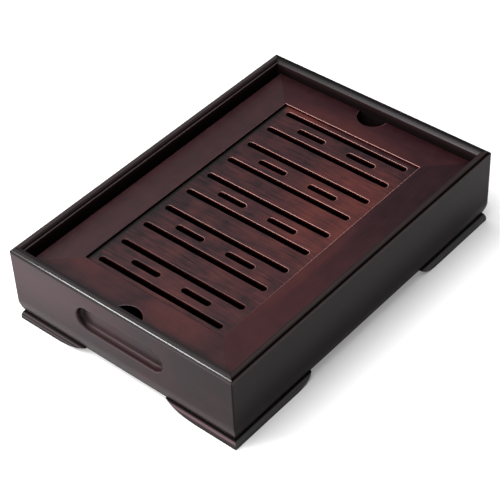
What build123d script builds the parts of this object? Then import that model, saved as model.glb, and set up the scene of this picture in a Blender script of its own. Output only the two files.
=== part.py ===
from build123d import *
import os

# A small gongfu tea tray: a lacquered bamboo box on four bracket feet, with a slotted lid
# that lifts out and a plastic drip tray under it. Millimetres. The long side runs along X,
# the front faces -Y, and the origin is on the floor under the middle of the box.

# Box
tray_length = 300.0
tray_width = 209.4
tray_height = 69.0
wall_thickness = 7.2
rim_round = 4.0
rim_flat = 1.6
rim_bevel = 0.6
rim_step_depth = 4.0
rim_bead_round = 0.6
# The corner rounding stands this far proud, so it meets the walls at a slight angle
corner_round = 1.4
corner_ease = 0.06
belly_height = 15.0
belly_inset = 3.2

# Bottom panel, held in a groove round the walls
bottom_lip = 2.0
bottom_thickness = 4.0
groove_depth = 3.5
glue_gap = 0.4

# Feet, two mitred halves at each corner
foot_height = 7.2
foot_thickness = 10.5
foot_inset = 0.4
foot_ledge = 0.9
foot_toe_height = 1.4
long_foot_flat = 67.0
long_foot_run = 18.0
short_foot_flat = 34.0
short_foot_run = 32.0

# Finger grips sunk into the end walls
grip_length = 82.0
grip_height = 21.0
grip_depth = 5.0
grip_centre_height = 41.9
grip_edge_round = 1.2
grip_floor_round = 3.0

# Lid: a mitred frame round a sunken slotted panel
lid_drop = 12.0
lid_thickness = 14.0
lid_end_clearance = 0.6
lid_side_clearance = 3.6
rail_width = 29.0
recess_depth = 1.8
lid_edge_round = 0.8
notch_radius = 12.7

# Slotted panel
panel_thickness = 9.0
tongue_length = 5.0
tongue_thickness = 4.0
slot_count = 10
slot_width = 4.8
slot_side_margin = 4.7
slot_end_margin = 7.0
short_slot_length = 26.0
short_slot_offset = 23.9
slot_edge_round = 0.7

# Ledges that carry the lid
ledge_depth = 8.0
ledge_height = 10.0
ledge_end_gap = 0.5

# Drip tray
drip_side_gap = 1.0
drip_end_gap = 1.5
drip_headroom = 3.0
drip_flange = 5.0
drip_wall = 1.8
drip_corner = 14.0
drip_base_round = 4.0
drip_draft = 4.0

# Cutters run this far past what they cut
overrun = 1.0

# Places worked out from the sizes above
half_length = tray_length / 2
half_width = tray_width / 2
groove_bottom = foot_height + bottom_lip
groove_top = groove_bottom + bottom_thickness
rim_flat_edge = rim_round + rim_flat
step_height = tray_height - rim_step_depth
foot_top_inset = belly_inset - foot_ledge
lid_top = tray_height - lid_drop
lid_bottom = lid_top - lid_thickness
lid_half_length = half_length - wall_thickness - lid_end_clearance
lid_half_width = half_width - wall_thickness - lid_side_clearance
recess_half_length = lid_half_length - rail_width
recess_half_width = lid_half_width - rail_width
panel_top = lid_top - recess_depth
panel_bottom = panel_top - panel_thickness
tongue_bottom = panel_bottom + (panel_thickness - tongue_thickness) / 2
tongue_top = tongue_bottom + tongue_thickness

# Sides are counted round the tray from the front: front, right, back, left
side_names = ["front", "right", "back", "left"]
corner_names = ["front_left", "front_right", "back_right", "back_left"]
side_runs = [Vector(1, 0), Vector(0, 1), Vector(-1, 0), Vector(0, -1)]
side_inward = [Vector(0, 1), Vector(-1, 0), Vector(0, -1), Vector(1, 0)]


def ring_corners(half_x, half_y):
    signs = [(-1, -1), (1, -1), (1, 1), (-1, 1)]
    return [Vector(x * half_x, y * half_y) for x, y in signs]


def side_plane(half_x, half_y, side):
    # Local x runs inward from the outer face, local y is the height, and z runs along the side
    start = ring_corners(half_x, half_y)[side]
    return Plane(origin=start, x_dir=side_inward[side], z_dir=side_runs[side])


def side_length(half_x, half_y, side):
    corners = ring_corners(half_x, half_y)
    return (corners[(side + 1) % 4] - corners[side]).length


def mitred_plan(outer_x, outer_y, inner_x, inner_y, side):
    # Seen from above: the outer edge of one side, and mitres to the inner corners
    outer = ring_corners(outer_x, outer_y)
    inner = ring_corners(inner_x, inner_y)
    following = (side + 1) % 4
    return [outer[side], outer[following], inner[following], inner[side]]


os.makedirs("parts", exist_ok=True)


def save(piece, name):
    piece.part.label = name
    export_step(piece.part, f"parts/{name}.step")


# Box walls: one board profile, mitred at the corners, with grips in the two end walls
for side, side_name in enumerate(side_names):
    plane = side_plane(half_length, half_width, side)
    length = side_length(half_length, half_width, side)
    is_end_wall = side % 2 == 1
    with BuildPart() as wall:
        with BuildSketch(plane):
            with BuildLine():
                Line((wall_thickness, foot_height), (belly_inset, foot_height))
                TangentArc(
                    (0, foot_height + belly_height), (belly_inset, foot_height), tangent=(0, -1)
                )
                Line((0, foot_height + belly_height), (0, tray_height - rim_round))
                TangentArc((0, tray_height - rim_round), (rim_round, tray_height), tangent=(0, 1))
                Polyline(
                    (rim_round, tray_height),
                    (rim_flat_edge, tray_height),
                    (rim_flat_edge + rim_bevel, step_height),
                    (wall_thickness - rim_bead_round, step_height),
                )
                TangentArc(
                    (wall_thickness - rim_bead_round, step_height),
                    (wall_thickness, step_height - rim_bead_round),
                    tangent=(1, 0),
                )
                Polyline(
                    (wall_thickness, step_height - rim_bead_round),
                    (wall_thickness, groove_top),
                    (wall_thickness - groove_depth, groove_top),
                    (wall_thickness - groove_depth, groove_bottom),
                    (wall_thickness, groove_bottom),
                    (wall_thickness, foot_height),
                )
            make_face()
        extrude(amount=length)
        with BuildSketch(Plane.XY):
            RectangleRounded(
                tray_length + 2 * corner_ease, tray_width + 2 * corner_ease, corner_round
            )
        extrude(amount=tray_height, mode=Mode.INTERSECT)
        with BuildSketch(Plane.XY):
            with BuildLine():
                Polyline(
                    *mitred_plan(
                        half_length,
                        half_width,
                        half_length - wall_thickness,
                        half_width - wall_thickness,
                        side,
                    ),
                    close=True,
                )
            make_face()
        extrude(amount=tray_height, mode=Mode.INTERSECT)

        if is_end_wall:
            inward = side_inward[side]
            mouth_centre = Vector(-inward.X * half_length, 0, grip_centre_height)
            with BuildSketch(Plane(origin=mouth_centre, x_dir=side_runs[side], z_dir=inward)):
                SlotOverall(grip_length, grip_height)
            extrude(amount=grip_depth, mode=Mode.SUBTRACT)
            grip_floor = wall.faces().sort_by_distance(mouth_centre + inward * grip_depth)[0]
            fillet(grip_floor.edges(), grip_floor_round)
            outer_face = wall.faces().filter_by(Axis.X).sort_by(Axis(mouth_centre, inward))[0]
            fillet(outer_face.inner_wires().edges(), grip_edge_round)
    save(wall, f"{side_name}_wall")

# Bottom panel, let into the grooves of all four walls
with BuildPart() as bottom_panel:
    with BuildSketch(Plane.XY.offset(groove_bottom)):
        Rectangle(
            2 * (half_length - wall_thickness + groove_depth - glue_gap),
            2 * (half_width - wall_thickness + groove_depth - glue_gap),
        )
    extrude(amount=bottom_thickness)
save(bottom_panel, "bottom_panel")

# Bracket feet: a half along each wall at each corner, mitred where the two halves meet
for side in range(4):
    is_end_wall = side % 2 == 1
    flat = short_foot_flat if is_end_wall else long_foot_flat
    reach = flat + (short_foot_run if is_end_wall else long_foot_run)
    plane = side_plane(half_length, half_width, side)
    corners = ring_corners(half_length, half_width)
    for sense, corner in ((1, side), (-1, (side + 1) % 4)):
        tip = corners[corner]
        run = side_runs[side] * sense
        inward = side_inward[side]
        with BuildPart() as foot_half:
            with BuildSketch(Plane(origin=tip, x_dir=inward, z_dir=side_runs[side])):
                with BuildLine():
                    Polyline(
                        (foot_top_inset, foot_height),
                        (foot_thickness, foot_height),
                        (foot_thickness, 0),
                        (foot_inset, 0),
                        (foot_inset, foot_toe_height),
                    )
                    TangentArc(
                        (foot_inset, foot_toe_height), (foot_top_inset, foot_height), tangent=(0, 1)
                    )
                make_face()
            extrude(amount=sense * reach)
            with BuildSketch(Plane(origin=tip, x_dir=run, z_dir=run.cross(Vector(0, 0, 1)))):
                with BuildLine():
                    Polyline((flat, 0), (0, 0), (0, foot_height), (reach, foot_height))
                    TangentArc((flat, 0), (reach, foot_height), tangent=(1, 0))
                make_face()
            extrude(amount=foot_thickness, both=True, mode=Mode.INTERSECT)
            with BuildSketch(Plane.XY):
                with BuildLine():
                    Polyline(
                        tip,
                        tip + run * reach,
                        tip + run * reach + inward * foot_thickness,
                        tip + run * foot_thickness + inward * foot_thickness,
                        close=True,
                    )
                make_face()
            extrude(amount=foot_height, mode=Mode.INTERSECT)
        which = "short" if is_end_wall else "long"
        save(foot_half, f"{corner_names[corner]}_{which}_foot")

# Ledges glued inside the long walls, which the lid rests on
for side in (0, 2):
    inward = side_inward[side].Y
    with BuildPart() as ledge:
        with BuildSketch(Plane.XY.offset(lid_bottom)):
            with Locations((0, -inward * (half_width - wall_thickness - ledge_depth / 2))):
                Rectangle(2 * (half_length - wall_thickness - ledge_end_gap), ledge_depth)
        extrude(amount=-ledge_height)
    save(ledge, f"{side_names[side]}_ledge")

# Lid frame: four mitred rails, grooved for the panel, the end rails notched for a finger
for side, side_name in enumerate(side_names):
    plane = side_plane(lid_half_length, lid_half_width, side)
    is_end_rail = side % 2 == 1
    with BuildPart() as rail:
        with BuildSketch(plane):
            with BuildLine():
                Polyline(
                    (rail_width, lid_bottom),
                    (0, lid_bottom),
                    (0, lid_top - lid_edge_round),
                )
                TangentArc((0, lid_top - lid_edge_round), (lid_edge_round, lid_top), tangent=(0, 1))
                Line((lid_edge_round, lid_top), (rail_width - lid_edge_round, lid_top))
                TangentArc(
                    (rail_width - lid_edge_round, lid_top),
                    (rail_width, lid_top - lid_edge_round),
                    tangent=(1, 0),
                )
                Polyline(
                    (rail_width, lid_top - lid_edge_round),
                    (rail_width, tongue_top),
                    (rail_width - tongue_length - glue_gap, tongue_top),
                    (rail_width - tongue_length - glue_gap, tongue_bottom),
                    (rail_width, tongue_bottom),
                    (rail_width, lid_bottom),
                )
            make_face()
        extrude(amount=side_length(lid_half_length, lid_half_width, side))
        with BuildSketch(Plane.XY.offset(lid_bottom)):
            with BuildLine():
                Polyline(
                    *mitred_plan(
                        lid_half_length,
                        lid_half_width,
                        recess_half_length,
                        recess_half_width,
                        side,
                    ),
                    close=True,
                )
            make_face()
        extrude(amount=lid_thickness, mode=Mode.INTERSECT)
        if is_end_rail:
            with BuildSketch(Plane.XY.offset(lid_bottom)):
                with Locations((-side_inward[side].X * lid_half_length, 0)):
                    Circle(notch_radius)
            extrude(amount=lid_thickness, mode=Mode.SUBTRACT)
            notch_rim = (
                rail.edges().filter_by(GeomType.CIRCLE).filter_by(
                    lambda edge: abs(edge.radius - notch_radius) < lid_edge_round
                ).sort_by(Axis.Z)[-1]
            )
            fillet(notch_rim, lid_edge_round)
    save(rail, f"lid_{side_name}_rail")

# Slotted panel: long slots across it, and pairs of short ones between every other two
recess_length = 2 * recess_half_length
recess_width = 2 * recess_half_width
slot_pitch = (recess_length - 2 * slot_side_margin - slot_width) / (slot_count - 1)
slot_length = recess_width - 2 * slot_end_margin
with BuildPart() as slotted_panel:
    with BuildSketch(Plane.XY.offset(panel_bottom)):
        Rectangle(recess_length, recess_width)
    extrude(amount=panel_thickness)
    with BuildSketch(Plane.XY.offset(tongue_bottom)):
        Rectangle(recess_length + 2 * tongue_length, recess_width + 2 * tongue_length)
    extrude(amount=tongue_thickness)
    with BuildSketch(Plane.XY.offset(panel_bottom)):
        with GridLocations(slot_pitch, 0, slot_count, 1):
            SlotOverall(slot_length, slot_width, rotation=90)
        with GridLocations(2 * slot_pitch, 2 * short_slot_offset, slot_count // 2, 2):
            SlotOverall(short_slot_length, slot_width, rotation=90)
    extrude(amount=panel_thickness, mode=Mode.SUBTRACT)
    fillet(slotted_panel.faces().sort_by(Axis.Z)[-1].inner_wires().edges(), slot_edge_round)
save(slotted_panel, "lid_slotted_panel")

# Drip tray: a drafted shell with a flat flange, standing on the bottom panel
drip_half_length = half_length - wall_thickness - drip_end_gap
drip_half_width = half_width - wall_thickness - ledge_depth - drip_side_gap
drip_top = lid_bottom - drip_headroom
drip_height = drip_top - groove_top
body_length = 2 * (drip_half_length - drip_flange)
body_width = 2 * (drip_half_width - drip_flange)
with BuildPart() as drip_tray:
    with BuildSketch(Plane.XY.offset(drip_top)):
        RectangleRounded(body_length, body_width, drip_corner)
    extrude(amount=-drip_height, taper=drip_draft)
    fillet(drip_tray.faces().sort_by(Axis.Z)[0].edges(), drip_base_round)
    with BuildSketch(Plane.XY.offset(drip_top)):
        RectangleRounded(2 * drip_half_length, 2 * drip_half_width, drip_corner + drip_flange)
    extrude(amount=-drip_wall)
    with BuildSketch(Plane.XY.offset(drip_top)):
        RectangleRounded(
            body_length - 2 * drip_wall, body_width - 2 * drip_wall, drip_corner - drip_wall
        )
    extrude(amount=-(drip_height - drip_wall), taper=drip_draft, mode=Mode.SUBTRACT)
    inner_floor = drip_tray.faces().filter_by(Axis.Z).group_by(Axis.Z)[1]
    fillet(inner_floor.edges(), drip_base_round - drip_wall)
save(drip_tray, "drip_tray")
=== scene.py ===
import math

import bpy
from mathutils import Matrix, Vector


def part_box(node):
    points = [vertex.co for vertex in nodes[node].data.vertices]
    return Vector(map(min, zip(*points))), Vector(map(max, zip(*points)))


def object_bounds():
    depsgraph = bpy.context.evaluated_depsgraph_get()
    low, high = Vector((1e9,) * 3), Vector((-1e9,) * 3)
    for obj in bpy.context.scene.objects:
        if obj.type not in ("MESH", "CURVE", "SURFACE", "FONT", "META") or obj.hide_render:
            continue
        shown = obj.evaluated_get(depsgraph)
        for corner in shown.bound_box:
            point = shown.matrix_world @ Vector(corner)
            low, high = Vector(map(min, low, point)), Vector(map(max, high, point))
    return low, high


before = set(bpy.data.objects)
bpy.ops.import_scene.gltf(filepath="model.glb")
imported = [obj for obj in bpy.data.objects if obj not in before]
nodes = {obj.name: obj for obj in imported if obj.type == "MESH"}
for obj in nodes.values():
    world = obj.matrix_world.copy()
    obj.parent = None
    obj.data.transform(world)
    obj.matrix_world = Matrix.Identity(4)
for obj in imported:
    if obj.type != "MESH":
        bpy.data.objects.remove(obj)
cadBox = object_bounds()
print("frame loaded:", len(nodes), "nodes")


# A socket that can be used in sums: each sum adds the Math node that works it out
class Signal:
    def __init__(self, board, socket):
        self.board = board
        self.socket = socket

    def work(self, operation, first, second):
        return self.board.add("ShaderNodeMath", {"operation": operation}, {0: first, 1: second})

    def __add__(self, other):
        return self.work("ADD", self, other)

    def __radd__(self, other):
        return self.work("ADD", other, self)

    def __sub__(self, other):
        return self.work("SUBTRACT", self, other)

    def __rsub__(self, other):
        return self.work("SUBTRACT", other, self)

    def __mul__(self, other):
        return self.work("MULTIPLY", self, other)

    def __rmul__(self, other):
        return self.work("MULTIPLY", other, self)

    def __abs__(self):
        return self.board.add("ShaderNodeMath", {"operation": "ABSOLUTE"}, {0: self})


# A node tree with one method that adds a node, sets it up and wires it
class Board:
    def __init__(self, tree):
        self.tree = tree
        tree.nodes.clear()

    def add(self, kind, settings=None, inputs=None, output=None):
        node = self.tree.nodes.new(kind)
        for name, value in (settings or {}).items():
            if name == "stops":
                ramp = node.color_ramp
                ramp.elements.remove(ramp.elements[1])
                ramp.elements[0].position = value[0][0]
                ramp.elements[0].color = value[0][1]
                for at, colour in value[1:]:
                    ramp.elements.new(at).color = colour
            else:
                setattr(node, name, value)
        for name, value in (inputs or {}).items():
            if isinstance(name, int):
                socket = node.inputs[name]
            else:
                socket = next(s for s in node.inputs if s.enabled and s.name == name)
            if isinstance(value, Signal):
                self.tree.links.new(value.socket, socket)
            else:
                socket.default_value = value
        if output:
            return Signal(self, node.outputs[output])
        shown = [s for s in node.outputs if s.enabled]
        return Signal(self, shown[0]) if shown else None


# Small helpers that all the finishes share
def objectPlace(board):
    return board.add("ShaderNodeTexCoord", None, None, "Object")


def parts(board, vector):
    split = board.add("ShaderNodeSeparateXYZ", None, {"Vector": vector})
    return [Signal(board, socket) for socket in split.socket.node.outputs]


def facing(board):
    return parts(board, board.add("ShaderNodeNewGeometry", None, None, "Normal"))


def smoothStep(board, value, low, high):
    return board.add(
        "ShaderNodeMapRange",
        {"interpolation_type": "SMOOTHSTEP"},
        {"Value": value, "From Min": low, "From Max": high},
    )


def smoothFall(board, value, low, high):
    return 1.0 - smoothStep(board, value, low, high)


# 1 between two slopes and 0 outside them
def band(board, value, rise, fall):
    return smoothStep(board, value, *rise) * smoothFall(board, value, *fall)


# 1 inside a rectangle round the origin, fading to 0 from edge + fade[0] to edge + fade[1]
def within(board, x, y, halfX, halfY, fade):
    inX = smoothFall(board, abs(x), halfX + fade[0], halfX + fade[1])
    inY = smoothFall(board, abs(y), halfY + fade[0], halfY + fade[1])
    return inX * inY


# A noise has its mean at 0.5: this makes it sway round 0
def sway(signal, spread):
    return (signal - 0.5) * spread


# Two noises or tones mixed by their weights
def blend(first, second, weights):
    return first * weights[0] + second * weights[1]


# A line through base at 0 that has risen by rise at 1
def slope(signal, base, rise):
    return base + rise * signal


def mixColour(board, factor, first, second):
    return board.add(
        "ShaderNodeMix", {"data_type": "RGBA"}, {"Factor": factor, "A": first, "B": second}
    )


def noise(board, place, scale, detail, shift=(0.0, 0.0, 0.0)):
    stretched = board.add(
        "ShaderNodeMapping", None, {"Vector": place, "Location": shift, "Scale": scale}
    )
    return board.add(
        "ShaderNodeTexNoise", None, {"Vector": stretched, "Scale": 1.0, "Detail": detail}
    )


# Noise scale for a grain that runs along one axis: long along it, fine across it
def grainScale(along, plan):
    return tuple(1 / plan["fibreLength" if axis == along else "fibreWidth"] for axis in "XYZ")


def evenScale(size):
    return (1 / size,) * 3


def finishMaterial(name):
    material = bpy.data.materials.new(name)
    material.use_nodes = True
    return material, Board(material.node_tree)


# Ends a finish: where matt is given, that share of the surface mirrors nothing
def closeFinish(board, colour, roughness, height, coat, ior, plan, matt=None):
    bump = board.add(
        "ShaderNodeBump",
        None,
        {"Strength": plan["bump"], "Distance": plan["bumpDepth"], "Height": height},
    )
    shader = board.add(
        "ShaderNodeBsdfPrincipled",
        None,
        {
            "Base Color": colour,
            "Roughness": roughness,
            "IOR": ior,
            "Coat Weight": coat,
            "Coat Roughness": plan["coatRoughness"],
            "Normal": bump,
        },
    )
    if matt:
        dull = board.add(
            "ShaderNodeBsdfPrincipled",
            None,
            {"Base Color": colour, "Roughness": 1.0, "Specular IOR Level": 0.0, "Normal": bump},
        )
        shader = board.add("ShaderNodeMixShader", None, {0: matt, 1: shader, 2: dull})
    board.add("ShaderNodeOutputMaterial", None, {"Surface": shader})


# The hairline where two mitred boards meet, on any ring of boards round the origin
def mitreLine(board, x, y, halfX, halfY, width):
    apart = abs((abs(x) - halfX) - (abs(y) - halfY))
    return smoothFall(board, apart, *width)


trayHalfX, trayHalfY, trayHeight = cadBox[1]
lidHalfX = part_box("lid_right_rail")[1][0]
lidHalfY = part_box("lid_back_rail")[1][1]
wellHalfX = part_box("right_wall")[0][0]
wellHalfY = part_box("back_wall")[0][1]

# The box: metres, with heights from the floor. A pair is where a change starts and ends
boxPlan = {
    "soot": (0.0105, 0.0075, 0.0085, 1.0),
    "ashSheen": (0.0920, 0.0610, 0.0680, 1.0),
    "wine": (0.0440, 0.0110, 0.0120, 1.0),
    "dull": (0.0120, 0.0090, 0.0095, 1.0),
    "pitch": (0.0010, 0.0006, 0.0006, 1.0),
    "inside": (0.0040, 0.0016, 0.0016, 1.0),
    "insideLitTop": (0.0170, 0.0075, 0.0080, 1.0),
    "boardThickness": 0.0072,
    "fibreWidth": 0.0011,
    "fibreLength": 0.060,
    "fibreDetail": 3.0,
    "cloudSize": 0.045,
    "cloudDetail": 2.0,
    "ashSheenCloud": (0.55, 0.9),  # ashen sheen where the cloud is 0, and what a full cloud adds
    "sheenHeights": (0.006, 0.055),
    "sheenLow": 0.35,  # share of the painted sheen that is left at the foot of a wall
    "wineBlend": (0.7, 0.3),  # weights of cloud and fibre
    "wineRange": (0.40, 0.70),
    "rimRound": 0.004,
    "rimFade": (-0.0004, 0.0001),  # from where the rounding starts
    "rimFibre": (0.7, 0.6),  # tone where the fibre is 0, and what a full fibre adds
    "insideFade": (0.0001, 0.0005),  # from the outline of the well
    "insideTopDepth": (0.010, 0.004),
    "seam": (0.0002, 0.0005),
    "seamShare": 0.7,
    "roughness": 0.24,
    "roughnessCloud": 0.10,
    "roughnessFibre": 0.08,
    "insideRoughness": 0.75,
    "shineRise": (0.42, 0.51),  # how far up the rounding faces where its shine starts
    "shineFall": (0.68, 0.77),
    "shineFarEnd": (0.045, 0.100),
    "shineFarLoss": 0.65,
    "bellyFoot": 0.009,
    "bellyFarEnd": (0.100, 0.148),
    "bellyFarLoss": 0.5,
    "bump": 0.10,
    "bumpDepth": 0.0002,
    "coatRoughness": 0.14,
}

gripPlan = {
    "redReflection": (0.0200, 0.0060, 0.0065, 1.0),
    "lipHighlight": (0.1100, 0.0720, 0.0740, 1.0),
    "depth": (-0.0030, -0.0004),  # from the outer face of the wall
    "bottom": (0.028, 0.030),
    "top": (0.054, 0.056),
    "floor": (0.0320, 0.0348),
    "redReflectionShare": 0.65,
    "farEndShadow": (0.028, 0.040),
    "farEndShadowShare": 0.8,
    "lipRise": (0.20, 0.35),
    "lipFall": (0.55, 0.75),
    "lipShare": (0.35, 0.4),  # at the far end, and what the near end adds
}

# Per wall: the run of its grain, how much painted ashen sheen it has from one end to the
# other, its red, how much it mirrors, up to which height its belly is painted darker and
# matt and how much, how much the rounding of its rim shines, and how pale its rim is
# painted, as highlight and shade lines, at each depth into the board, from the outer face
# inwards, and at each end of the wall
wallBoards = {
    "front_wall": {
        "along": "X",
        "ashSheen": (0.01, 0.03),
        "wine": 0.06,
        "ior": 1.11,
        "bellyTop": 0.052,
        "bellyMatt": 0.68,
        "edgeCoat": 0.0,
        "rim": [
            (0.0, 0.18),
            (0.00012, 0.30),
            (0.0004, 0.19),
            (0.0008, 0.0),
            (0.0014, 0.0),
            (0.0026, 0.145),
            (0.0036, 0.145),
            (0.0050, 0.10),
        ],
        "rimEnds": (1.0, 1.0),
        "pale": (0.170, 0.125, 0.125, 1.0),
        "shift": (0.0, 0.0, 0.0),
    },
    "right_wall": {
        "along": "Y",
        "ashSheen": (0.10, 0.30),
        "wine": 0.45,
        "ior": 1.16,
        "bellyTop": 0.019,
        "bellyMatt": 0.90,
        "edgeCoat": 0.0,
        "rim": [
            (0.0, 0.02),
            (0.0052, 0.02),
            (0.0057, 0.12),
            (0.0059, 0.35),
            (0.0062, 0.50),
            (0.0070, 0.42),
        ],
        "rimEnds": (1.1, 0.7),
        "pale": (0.170, 0.157, 0.162, 1.0),
        "shift": (3.7, 1.9, 6.1),
    },
    "back_wall": {
        "along": "X",
        "ashSheen": (0.30, 0.08),
        "wine": 0.30,
        "ior": 1.13,
        "bellyTop": 0.019,
        "bellyMatt": 0.95,
        "edgeCoat": 0.0,
        "rim": [
            (0.0, 0.15),
            (0.0050, 0.16),
            (0.0056, 0.27),
            (0.0058, 0.50),
            (0.0059, 0.20),
            (0.0060, 0.08),
            (0.0061, 0.08),
            (0.0062, 0.54),
        ],
        "rimEnds": (1.0, 1.0),
        "pale": (0.170, 0.125, 0.130, 1.0),
        "shift": (8.1, 2.6, 0.4),
    },
    "left_wall": {
        "along": "Y",
        "ashSheen": (0.02, 0.58),
        "wine": 0.45,
        "ior": 1.15,
        "bellyTop": 0.019,
        "bellyMatt": 0.60,
        "edgeCoat": 0.76,
        "rim": [
            (0.0, 0.20),
            (0.0002, 0.12),
            (0.0008, 0.10),
            (0.0022, 0.09),
            (0.0030, 0.06),
            (0.0038, 0.07),
            (0.0056, 0.07),
        ],
        "rimEnds": (1.3, 0.9),
        "pale": (0.170, 0.135, 0.145, 1.0),
        "shift": (1.3, 7.7, 4.2),
    },
}


# Painted light in the grip of an end wall: a painted red reflection low in it, a painted shadow at
# its far end and a painted highlight along its bottom edge
def paintGripLight(board, colour, x, y, z, there):
    outer = [trayHalfX + step for step in gripPlan["depth"]]
    aboveBottom = smoothStep(board, z, *gripPlan["bottom"])
    inGrip = smoothFall(board, abs(x), *outer) * smoothFall(board, z, *gripPlan["top"])
    inGrip = inGrip * aboveBottom
    low = smoothFall(board, z, *gripPlan["floor"])
    colour = mixColour(board, inGrip * low * gripPlan["redReflectionShare"], colour, gripPlan["redReflection"])
    farEndShadow = smoothStep(board, y, *gripPlan["farEndShadow"]) * gripPlan["farEndShadowShare"]
    colour = mixColour(board, inGrip * farEndShadow, colour, boxPlan["pitch"])
    lipHighlight = band(board, facing(board)[2], gripPlan["lipRise"], gripPlan["lipFall"])
    lipHighlight = lipHighlight * low * aboveBottom * slope(1.0 - there, *gripPlan["lipShare"])
    return mixColour(board, lipHighlight, colour, gripPlan["lipHighlight"])


# Painted light and shade on a wall's rim: highlight and dark lines whose tone goes by the depth
# into the board
def rimShading(board, plan, depth, there, fibre):
    thickness = boxPlan["boardThickness"]
    stops = [(at / thickness, (tone, tone, tone, 1.0)) for at, tone in plan["rim"]]
    tone = board.add(
        "ShaderNodeValToRGB", {"stops": stops}, {"Fac": depth * (1 / thickness)}, "Color"
    )
    startTone, endTone = plan["rimEnds"]
    tone = tone * slope(there, startTone, endTone - startTone)
    tone = tone * slope(fibre, *boxPlan["rimFibre"])
    return mixColour(board, tone, boxPlan["pitch"], plan["pale"])


def boxLacquer(name):
    plan = wallBoards[name]
    material, board = finishMaterial(name + "Lacquer")
    place = objectPlace(board)
    x, y, z = parts(board, place)
    fibre = noise(
        board, place, grainScale(plan["along"], boxPlan), boxPlan["fibreDetail"], plan["shift"]
    )
    cloud = noise(
        board, place, evenScale(boxPlan["cloudSize"]), boxPlan["cloudDetail"], plan["shift"]
    )
    sides = {"X": (x, trayHalfX, y, trayHalfY), "Y": (y, trayHalfY, x, trayHalfX)}
    run, halfRun, across, halfAcross = sides[plan["along"]]
    there = smoothStep(board, run, -halfRun, halfRun)  # 0 at one end of the wall, 1 at the other

    # Painted sheen: the ashen grey grows toward one end of each wall and toward its top, where more
    # light falls, and varies at random with the cloud
    sheenLow = boxPlan["sheenLow"]
    sheenStart, sheenEnd = plan["ashSheen"]
    lit = slope(smoothStep(board, z, *boxPlan["sheenHeights"]), sheenLow, 1 - sheenLow)
    ashSheen = slope(there, sheenStart, sheenEnd - sheenStart) * slope(cloud, *boxPlan["ashSheenCloud"]) * lit
    colour = mixColour(board, ashSheen, boxPlan["soot"], boxPlan["ashSheen"])
    wine = blend(cloud, fibre, boxPlan["wineBlend"])
    wine = smoothStep(board, wine, *boxPlan["wineRange"]) * plan["wine"]
    colour = mixColour(board, wine, colour, boxPlan["wine"])
    if plan["along"] == "Y":
        colour = paintGripLight(board, colour, x, y, z, there)

    # Painted highlight and shade lines along the rim
    roundStart = trayHeight - boxPlan["rimRound"]
    atRim = smoothStep(board, z, *[roundStart + step for step in boxPlan["rimFade"]])
    rim = rimShading(board, plan, halfAcross - abs(across), there, fibre)
    colour = mixColour(board, atRim, colour, rim)
    # Painted shade: the inner faces of the well are dark, and painted lighter near the top
    inside = within(board, x, y, wellHalfX, wellHalfY, boxPlan["insideFade"])
    insideLitTop = smoothStep(board, z, *[trayHeight - depth for depth in boxPlan["insideTopDepth"]])
    insideShade = mixColour(board, insideLitTop, boxPlan["inside"], boxPlan["insideLitTop"])
    colour = mixColour(board, inside, colour, insideShade)
    seam = mitreLine(board, x, y, trayHalfX, trayHalfY, boxPlan["seam"]) * boxPlan["seamShare"]
    colour = mixColour(board, seam, colour, boxPlan["inside"])
    # Painted shade: the belly is darker and mirrors nothing, less so toward the far end
    belly = smoothFall(board, z, boxPlan["bellyFoot"], plan["bellyTop"]) * plan["bellyMatt"]
    bellyEnd = smoothStep(board, x, *boxPlan["bellyFarEnd"])
    belly = belly * (1.0 - boxPlan["bellyFarLoss"] * bellyEnd)
    colour = mixColour(board, belly, colour, boxPlan["dull"])

    roughness = boxPlan["roughness"] + sway(cloud, boxPlan["roughnessCloud"])
    roughness = roughness + sway(fibre, boxPlan["roughnessFibre"])
    roughness = roughness + (boxPlan["insideRoughness"] - roughness) * inside
    shine = 0.0
    if plan["edgeCoat"]:
        shine = band(board, facing(board)[2], boxPlan["shineRise"], boxPlan["shineFall"]) * atRim
        shineEnd = smoothStep(board, y, *boxPlan["shineFarEnd"])
        shine = shine * (1.0 - boxPlan["shineFarLoss"] * shineEnd) * plan["edgeCoat"]
    closeFinish(board, colour, roughness, fibre, shine, plan["ior"], boxPlan, belly)
    return material


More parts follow.
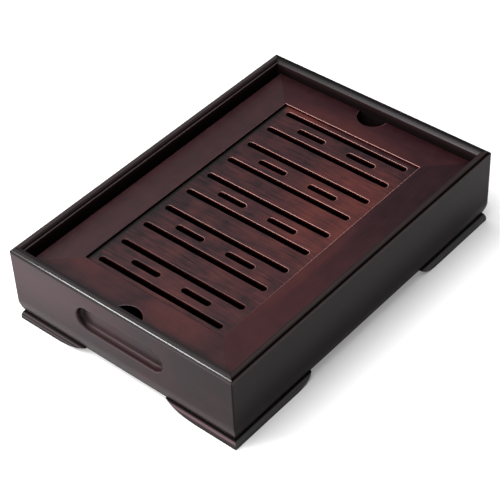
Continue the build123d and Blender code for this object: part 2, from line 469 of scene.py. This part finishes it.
# The lid. Facing is how far a face looks along an axis: 1 fully along it, 0 across it
lidPlan = {
    "stops": [
        (0.00, (0.0040, 0.0009, 0.0016, 1.0)),
        (0.25, (0.0190, 0.0042, 0.0062, 1.0)),
        (0.60, (0.0420, 0.0088, 0.0090, 1.0)),
        (1.00, (0.0740, 0.0150, 0.0110, 1.0)),
    ],
    "edgeHighlight": (0.480, 0.220, 0.190, 1.0),
    "hollow": (0.0008, 0.0003, 0.0003, 1.0),
    "hollowLitTop": (0.0200, 0.0024, 0.0014, 1.0),
    "fibreWidth": 0.0008,
    "fibreLength": 0.018,
    "fibreDetail": 3.0,
    "cloudSize": 0.014,
    "cloudDetail": 3.0,
    "lightPatchFade": 1.6,  # where a patch ends, in reaches squared
    "rightShade": (0.130, 0.142),
    "rightShadeShare": 0.40,
    "leftShade": (-0.138, -0.131),
    "leftShadeShare": 0.6,
    "recessHalfY": 0.0649,
    "cornerLine": (-0.0028, -0.0016),  # the dark line along the back edge of the recess
    "cornerLineShare": 0.8,
    "cornerShade": (-0.009, 0.0),
    "cornerShadeShare": 0.4,
    "highlightRise": (0.70, 0.82),
    "highlightFall": (0.93, 0.99),
    "highlightAlongX": (-0.090, 0.010),
    "highlightLeast": 0.05,
    "highlightFacingY": (-0.45, -0.15),
    "highlightFacingX": (0.1, 0.3),
    "highlightShare": 0.72,
    "sideFacing": (0.62, 0.78),
    "outerFade": (-0.0012, -0.0004),
    "awayFacing": (0.15, 0.40),
    "litTopHeights": (0.0530, 0.0546),  # the top of a slot's side, where painted light makes it warm
    "litTopFacing": (-0.6, -0.3),
    "seam": (0.0002, 0.0005),
    "seamShare": 0.3,
    "roughness": 0.38,
    "roughnessCloud": 0.12,
    "roughnessFibre": 0.10,
    "bump": 0.15,
    "bumpDepth": 0.0002,
    "coatRoughness": 0.16,
}

# Per board of the lid: the run of its grain, its place in the noise, how much it mirrors, how
# much its edges shine, how warm its red is, how much clouds and fibres change that, where
# painted light and shade make it warmer or duller (the centre, reach and strength of each
# patch), and whether the sides of its slots get painted light at the top
lidBoards = {
    "lid_front_rail": {
        "along": "X",
        "shift": (0.0, 0.0, 0.0),
        "ior": 1.29,
        "edgeCoat": 1.0,
        "warmth": 0.14,
        "mottle": (0.20, 0.35),
        "lightPatches": [
            ((-0.130, -0.085), (0.160, 0.050), 0.22),
            ((-0.020, -0.066), (0.070, 0.009), 0.22),
        ],
        "litSideTops": False,
    },
    "lid_right_rail": {
        "along": "Y",
        "shift": (5.3, 2.1, 8.8),
        "ior": 1.29,
        "edgeCoat": 0.6,
        "warmth": 0.27,
        "mottle": (0.30, 0.40),
        "lightPatches": [((0.114, 0.010), (0.013, 0.065), 0.24)],
        "litSideTops": True,
    },
    "lid_back_rail": {
        "along": "X",
        "shift": (2.2, 9.4, 1.1),
        "ior": 1.40,
        "edgeCoat": 0.3,
        "warmth": 0.27,
        "mottle": (0.25, 0.35),
        "lightPatches": [],
        "litSideTops": False,
    },
    "lid_left_rail": {
        "along": "Y",
        "shift": (7.5, 0.8, 3.9),
        "ior": 1.33,
        "edgeCoat": 0.3,
        "warmth": 0.27,
        "mottle": (0.55, 0.50),
        "lightPatches": [
            ((-0.124, -0.030), (0.018, 0.030), 0.32),
            ((-0.117, 0.060), (0.010, 0.018), 0.22),
            ((-0.120, 0.035), (0.015, 0.020), 0.12),
        ],
        "litSideTops": False,
    },
    "lid_slotted_panel": {
        "along": "Y",
        "shift": (9.7, 4.2, 3.3),
        "ior": 1.35,
        "edgeCoat": 0.3,
        "warmth": 0.33,
        "mottle": (0.80, 1.40),
        "lightPatches": [
            ((0.040, -0.045), (0.065, 0.045), 0.42),
            ((-0.055, -0.032), (0.035, 0.025), 0.14),
            ((-0.104, -0.005), (0.020, 0.030), 0.18),
            ((0.1110, 0.062), (0.0045, 0.045), 0.60),
            ((0.104, -0.050), (0.026, 0.050), -0.16),
            ((-0.020, 0.072), (0.120, 0.024), -0.22),
        ],
        "litSideTops": True,
    },
}


# How warm the red of a board is from place to place, with patches of painted light and shade that
# make it warmer or duller
def lidWarmth(board, plan, x, y, cloud, fibre):
    cloudMottle, fibreMottle = plan["mottle"]
    warmth = plan["warmth"] + sway(cloud, cloudMottle) + sway(fibre, fibreMottle)
    for centre, reach, strength in plan["lightPatches"]:
        fromX = (x - centre[0]) * (1 / reach[0])
        fromY = (y - centre[1]) * (1 / reach[1])
        lightPatch = smoothFall(board, fromX * fromX + fromY * fromY, 0.0, lidPlan["lightPatchFade"])
        warmth = warmth + lightPatch * strength
    return warmth


# The shade that the box throws on both ends of the lid
def endShade(board, x):
    right = smoothStep(board, x, *lidPlan["rightShade"]) * lidPlan["rightShadeShare"]
    left = smoothFall(board, x, *lidPlan["leftShade"]) * lidPlan["leftShadeShare"]
    return right + left


# The shade along the back edge of the sunken panel
def cornerShade(board, y):
    line = [lidPlan["recessHalfY"] + step for step in lidPlan["cornerLine"]]
    soft = [lidPlan["recessHalfY"] + step for step in lidPlan["cornerShade"]]
    lineShade = smoothStep(board, y, *line) * lidPlan["cornerLineShare"]
    return lineShade + smoothStep(board, y, *soft) * lidPlan["cornerShadeShare"]


def lidLacquer(name):
    plan = lidBoards[name]
    material, board = finishMaterial(name + "Lacquer")
    place = objectPlace(board)
    x, y, z = parts(board, place)
    facingX, facingY, facingUp = facing(board)
    fibre = noise(
        board, place, grainScale(plan["along"], lidPlan), lidPlan["fibreDetail"], plan["shift"]
    )
    cloud = noise(board, place, evenScale(lidPlan["cloudSize"]), lidPlan["cloudDetail"])
    warmth = lidWarmth(board, plan, x, y, cloud, fibre)
    colour = board.add("ShaderNodeValToRGB", {"stops": lidPlan["stops"]}, {"Fac": warmth}, "Color")
    colour = mixColour(board, endShade(board, x), colour, lidPlan["hollow"])
    if name == "lid_slotted_panel":
        colour = mixColour(board, cornerShade(board, y), colour, lidPlan["hollow"])

    # Painted highlight on the roundings of edges that face the light: a rounding leans neither up
    # nor sideways
    inward = within(board, x, y, lidHalfX, lidHalfY, lidPlan["outerFade"])
    highlight = band(board, facingUp, lidPlan["highlightRise"], lidPlan["highlightFall"]) * inward
    along = smoothStep(board, x, *lidPlan["highlightAlongX"])
    highlight = highlight * slope(along, lidPlan["highlightLeast"], 1 - lidPlan["highlightLeast"])
    highlight = highlight * smoothStep(board, facingY, *lidPlan["highlightFacingY"])
    highlight = highlight * smoothFall(board, facingX, *lidPlan["highlightFacingX"])
    colour = mixColour(board, highlight * lidPlan["highlightShare"], colour, lidPlan["edgeHighlight"])

    # Painted shade: the sides of the slots and notches are nearly black and matt, and on some
    # boards painted light makes them warm at the top
    side = smoothFall(board, abs(facingUp), *lidPlan["sideFacing"]) * inward
    hollow = lidPlan["hollow"]
    if plan["litSideTops"]:
        litTop = smoothStep(board, z, *lidPlan["litTopHeights"])
        litTop = litTop * smoothFall(board, facingX, *lidPlan["litTopFacing"])
        hollow = mixColour(board, litTop, lidPlan["hollow"], lidPlan["hollowLitTop"])
    colour = mixColour(board, side, colour, hollow)
    # Painted shade: faces turned away from the light are black and matt
    away = smoothStep(board, facingX, *lidPlan["awayFacing"]) * inward
    colour = mixColour(board, away, colour, lidPlan["hollow"])
    if name != "lid_slotted_panel":
        seam = mitreLine(board, x, y, lidHalfX, lidHalfY, lidPlan["seam"]) * lidPlan["seamShare"]
        colour = mixColour(board, seam, colour, lidPlan["hollow"])

    roughness = lidPlan["roughness"] + sway(cloud, lidPlan["roughnessCloud"])
    roughness = roughness + sway(fibre, lidPlan["roughnessFibre"])
    matt = side + (1.0 - side) * away
    closeFinish(board, colour, roughness, fibre, highlight * plan["edgeCoat"], plan["ior"], lidPlan, matt)
    return material


footPlan = {
    "dark": (0.0030, 0.0018, 0.0020, 1.0),
    "face": {"X": (0.0420, 0.0400, 0.0400, 1.0), "Y": (0.0220, 0.0140, 0.0155, 1.0)},
    "gleam": (0.1000, 0.0620, 0.0700, 1.0),
    "streak": (0.1000, 0.0850, 0.0880, 1.0),
    "fibreWidth": 0.0009,
    "fibreLength": 0.035,
    "fibreDetail": 3.0,
    "faceRise": (0.0014, 0.0026),
    "faceFall": (0.0060, 0.0067),
    "faceFibre": (0.6, 0.8),
    "nearEnd": (-0.050, 0.0),
    "gleamRise": (0.0034, 0.0046),
    "gleamFall": (0.0056, 0.0064),
    "streakHeight": 0.0042,  # two streaks, one above this height and one below it
    "streakRise": (0.0007, 0.0013),
    "streakFall": (0.0013, 0.0019),
    "streakShare": 0.6,
    "topFacing": (0.8, 0.95),
    "roughness": 0.28,
    "roughnessFibre": 0.12,
    "bump": 0.10,
    "bumpDepth": 0.0002,
    "ior": 1.16,
    "coatRoughness": 0.16,
}


def footLacquer(along):
    material, board = finishMaterial("footLacquer" + along)
    place = objectPlace(board)
    y, z = parts(board, place)[1:]
    fibre = noise(board, place, grainScale(along, footPlan), footPlan["fibreDetail"])
    face = band(board, z, footPlan["faceRise"], footPlan["faceFall"])
    face = face * slope(fibre, *footPlan["faceFibre"])
    colour = mixColour(board, face, footPlan["dark"], footPlan["face"][along])
    if along == "Y":
        near = smoothFall(board, y, *footPlan["nearEnd"])
        gleam = band(board, z, footPlan["gleamRise"], footPlan["gleamFall"])
        colour = mixColour(board, gleam * near, colour, footPlan["gleam"])
        fromStreak = abs(z - footPlan["streakHeight"])
        streak = band(board, fromStreak, footPlan["streakRise"], footPlan["streakFall"])
        streak = streak * (1.0 - near) * footPlan["streakShare"]
        colour = mixColour(board, streak, colour, footPlan["streak"])
    # Painted shadow on the top of the foot, under the wall's belly
    ledgeShade = smoothStep(board, facing(board)[2], *footPlan["topFacing"])
    colour = mixColour(board, ledgeShade, colour, footPlan["dark"])
    roughness = footPlan["roughness"] + sway(fibre, footPlan["roughnessFibre"])
    closeFinish(board, colour, roughness, fibre, 0.0, footPlan["ior"], footPlan)
    return material


innerPlan = {
    "dark": (0.020, 0.010, 0.008, 1.0),
    "pale": (0.060, 0.028, 0.018, 1.0),
    "stripWidth": 0.020,
    "fibreWidth": 0.0008,
    "fibreLength": 0.040,
    "fibreDetail": 4.0,
    "paleBlend": (0.7, 0.3),  # weights of the fibre and of the strip's own tone
    "paleRange": (0.35, 0.75),
    "roughness": 0.62,
    "roughnessFibre": 0.2,
    "bump": 0.25,
    "bumpDepth": 0.0002,
    "ior": 1.45,
    "coatRoughness": 0.3,
}


def innerBamboo():
    material, board = finishMaterial("innerBamboo")
    place = objectPlace(board)
    fibre = noise(board, place, grainScale("X", innerPlan), innerPlan["fibreDetail"])
    strips = parts(board, place)[1] * (1 / innerPlan["stripWidth"])
    row = board.add("ShaderNodeMath", {"operation": "FLOOR"}, {0: strips + 0.5})
    tone = board.add("ShaderNodeTexWhiteNoise", {"noise_dimensions": "1D"}, {"W": row}, "Value")
    pale = blend(fibre, tone, innerPlan["paleBlend"])
    pale = smoothStep(board, pale, *innerPlan["paleRange"])
    colour = mixColour(board, pale, innerPlan["dark"], innerPlan["pale"])
    roughness = innerPlan["roughness"] + sway(fibre, innerPlan["roughnessFibre"])
    closeFinish(board, colour, roughness, fibre, 0.0, innerPlan["ior"], innerPlan)
    return material


dripPlan = {
    "deep": (0.008, 0.008, 0.008, 1.0),
    "worn": (0.020, 0.020, 0.021, 1.0),
    "pebble": 0.0009,
    "pebbleDetail": 1.0,
    "smudge": 0.035,
    "smudgeDetail": 4.0,
    "smudgeRange": (0.45, 0.75),
    "roughness": 0.48,
    "roughnessSmudge": 0.25,
    "bump": 0.20,
    "bumpDepth": 0.0002,
    "ior": 1.46,
    "coatRoughness": 0.3,
}


def dripPlastic():
    material, board = finishMaterial("dripPlastic")
    place = objectPlace(board)
    pebble = noise(board, place, evenScale(dripPlan["pebble"]), dripPlan["pebbleDetail"])
    smudge = noise(board, place, evenScale(dripPlan["smudge"]), dripPlan["smudgeDetail"])
    worn = smoothStep(board, smudge, *dripPlan["smudgeRange"])
    colour = mixColour(board, worn, dripPlan["deep"], dripPlan["worn"])
    roughness = dripPlan["roughness"] + sway(smudge, dripPlan["roughnessSmudge"])
    closeFinish(board, colour, roughness, pebble, 0.0, dripPlan["ior"], dripPlan)
    return material


# Which finish each CAD piece wears
def dress(name, material):
    piece = nodes[name]
    piece.data.materials.clear()
    piece.data.materials.append(material)


def dressTray():
    for name in wallBoards:
        dress(name, boxLacquer(name))
    for name in lidBoards:
        dress(name, lidLacquer(name))
    footAlong = {axis: footLacquer(axis) for axis in "XY"}
    for side in ("front", "back"):
        for end in ("left", "right"):
            dress(side + "_" + end + "_long_foot", footAlong["X"])
            dress(side + "_" + end + "_short_foot", footAlong["Y"])
    inner = innerBamboo()
    for name in ("bottom_panel", "front_ledge", "back_ledge"):
        dress(name, inner)
    dress("drip_tray", dripPlastic())


dressTray()
print("finishes made:", len(bpy.data.materials))


# Floor, lights and camera
floorPlan = {
    "size": 12.0,
    "colour": (0.92, 0.92, 0.92, 1.0),
    "fleck": (0.90, 0.90, 0.90, 1.0),
    "fleckSize": 1 / 3,
    "fleckDetail": 2.0,
    "glow": (0.07, 0.07, 0.07, 1.0),
    "underGlow": (0.23, 0.23, 0.23, 1.0),
    "underFade": (-0.0105, 0.0015),  # from the tray's outline
}


def layFloor():
    bpy.ops.object.select_all(action="DESELECT")
    bpy.ops.mesh.primitive_plane_add(size=floorPlan["size"], location=(0, 0, 0))
    floor = bpy.context.object
    floor.name = "floor"
    material, board = finishMaterial("floorPaper")
    place = objectPlace(board)
    x, y = parts(board, place)[:2]
    fleck = noise(board, place, evenScale(floorPlan["fleckSize"]), floorPlan["fleckDetail"])
    under = within(board, x, y, trayHalfX, trayHalfY, floorPlan["underFade"])
    shader = board.add(
        "ShaderNodeBsdfPrincipled",
        None,
        {
            "Base Color": mixColour(board, fleck, floorPlan["colour"], floorPlan["fleck"]),
            "Roughness": 1.0,
            "Specular IOR Level": 0.0,
            "Emission Color": mixColour(board, under, floorPlan["glow"], floorPlan["underGlow"]),
            "Emission Strength": 1.0,
        },
    )
    board.add("ShaderNodeOutputMaterial", None, {"Surface": shader})
    floor.data.materials.append(material)


worldPlan = {
    "left": (0.95, 0.95, 0.95, 1.0),
    "right": (0.16, 0.16, 0.16, 1.0),
    "turn": (-0.28, 0.36),
    "heading": 41.7,  # degrees: the side of the room that is bright
    "strength": 1.0,
}


def lightWorld():
    world = bpy.data.worlds.new("studio")
    world.use_nodes = True
    bpy.context.scene.world = world
    board = Board(world.node_tree)
    x, y = parts(board, board.add("ShaderNodeTexCoord", None, None, "Generated"))[:2]
    heading = math.radians(worldPlan["heading"])
    leftward = y * math.cos(heading) - x * math.sin(heading)
    bright = smoothStep(board, leftward, *worldPlan["turn"])
    colour = mixColour(board, bright, worldPlan["right"], worldPlan["left"])
    glow = board.add(
        "ShaderNodeBackground", None, {"Color": colour, "Strength": worldPlan["strength"]}
    )
    board.add("ShaderNodeOutputWorld", None, {"Surface": glow})


lampPlans = [
    {
        "name": "key",
        "toward": (-0.33, 0.21, 0.92),
        "distance": 2.2,
        "size": (2.5, 2.3),
        "power": 84.0,
    },
    {
        "name": "rimGlow",
        "toward": (-0.79, 0.49, 0.36),
        "distance": 2.2,
        "size": (0.45, 0.45),
        "power": 16.0,
    },
]


def hangLamp(plan):
    lamp = bpy.data.lights.new(plan["name"], "AREA")
    lamp.shape = "RECTANGLE"
    lamp.size, lamp.size_y = plan["size"]
    lamp.energy = plan["power"]
    holder = bpy.data.objects.new(plan["name"], lamp)
    toward = Vector(plan["toward"]).normalized()
    holder.location = toward * plan["distance"]
    holder.rotation_euler = toward.to_track_quat("Z", "Y").to_euler()
    bpy.context.scene.collection.objects.link(holder)


cameraPlan = {
    "azimuth": -47.87,
    "elevation": 42.23,
    "roll": -2.96,
    "target": (-0.0230, -0.0121, 0.0414),
    "distance": 1.2187,
    "lens": 120.17,
    "sensor": 36.0,
    "reach": 50.0,
}


def placeCamera():
    azimuth = math.radians(cameraPlan["azimuth"])
    elevation = math.radians(cameraPlan["elevation"])
    roll = math.radians(cameraPlan["roll"])
    back = Vector(
        (
            math.sin(azimuth) * math.cos(elevation),
            -math.cos(azimuth) * math.cos(elevation),
            math.sin(elevation),
        )
    )
    level = Vector((math.cos(azimuth), math.sin(azimuth), 0.0))
    upright = back.cross(level)
    right = level * math.cos(roll) + upright * math.sin(roll)
    up = upright * math.cos(roll) - level * math.sin(roll)
    camera = bpy.data.cameras.new("camera")
    camera.lens = cameraPlan["lens"]
    camera.sensor_width = cameraPlan["sensor"]
    camera.clip_end = cameraPlan["reach"]
    holder = bpy.data.objects.new("camera", camera)
    turned = Matrix((right, up, back)).transposed().to_4x4()
    place = Vector(cameraPlan["target"]) + back * cameraPlan["distance"]
    holder.matrix_world = Matrix.Translation(place) @ turned
    bpy.context.scene.collection.objects.link(holder)
    bpy.context.scene.camera = holder


layFloor()
lightWorld()
for lampPlan in lampPlans:
    hangLamp(lampPlan)
placeCamera()
bpy.context.scene.view_settings.view_transform = "Standard"
print("stage set")
